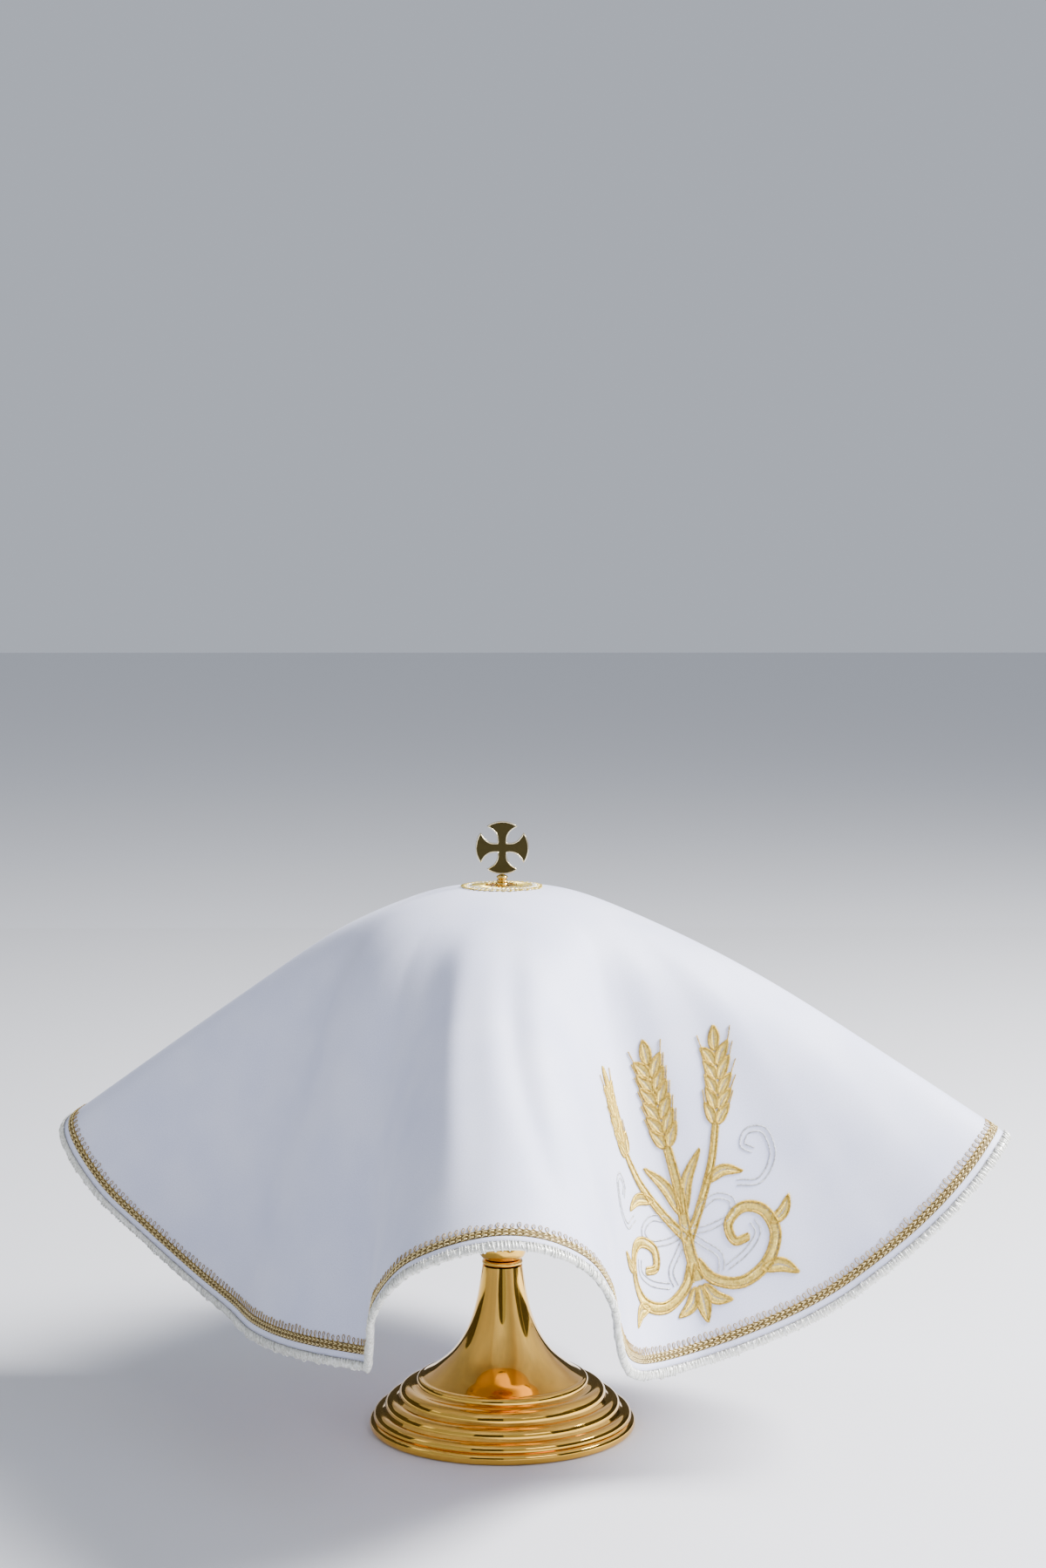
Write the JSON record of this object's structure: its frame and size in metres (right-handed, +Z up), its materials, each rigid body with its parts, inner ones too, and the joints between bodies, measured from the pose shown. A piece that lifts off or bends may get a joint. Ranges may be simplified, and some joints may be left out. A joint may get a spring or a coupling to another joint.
{
  "type": "ciborium veil on a ciborium",
  "caption": "Round satin veil with a gold braid hem, draped over a lidded gold cup whose finial comes through its middle.",
  "frame": {"origin": "middle of the underside of the ciborium's foot", "axes": "+Z up along the ciborium's axis, -Y towards the front fold of the veil, +X to the right seen from the front"},
  "size_m": [0.4456, 0.4585, 0.2855],
  "materials": {
    "satin": "white duchesse satin, soft sheen",
    "lurex": "white and silver metallic overlock stitching",
    "gold_thread": "gold metallic chain stitch braid",
    "gold": "polished gold plate",
    "old_gold": "dulled gilt, darker in its face"
  },
  "bodies": {
    "root": {"veil_cloth": "satin", "hem_edging": "lurex", "hem_braid": "gold_thread", "hole_braid": "gold_thread", "ciborium_foot": "gold", "ciborium_collar": "gold", "ciborium_knop": "gold", "ciborium_cup": "gold", "ciborium_lid": "gold", "finial_shaft": "gold", "finial_cross": "old_gold"}
  },
  "joints": []
}
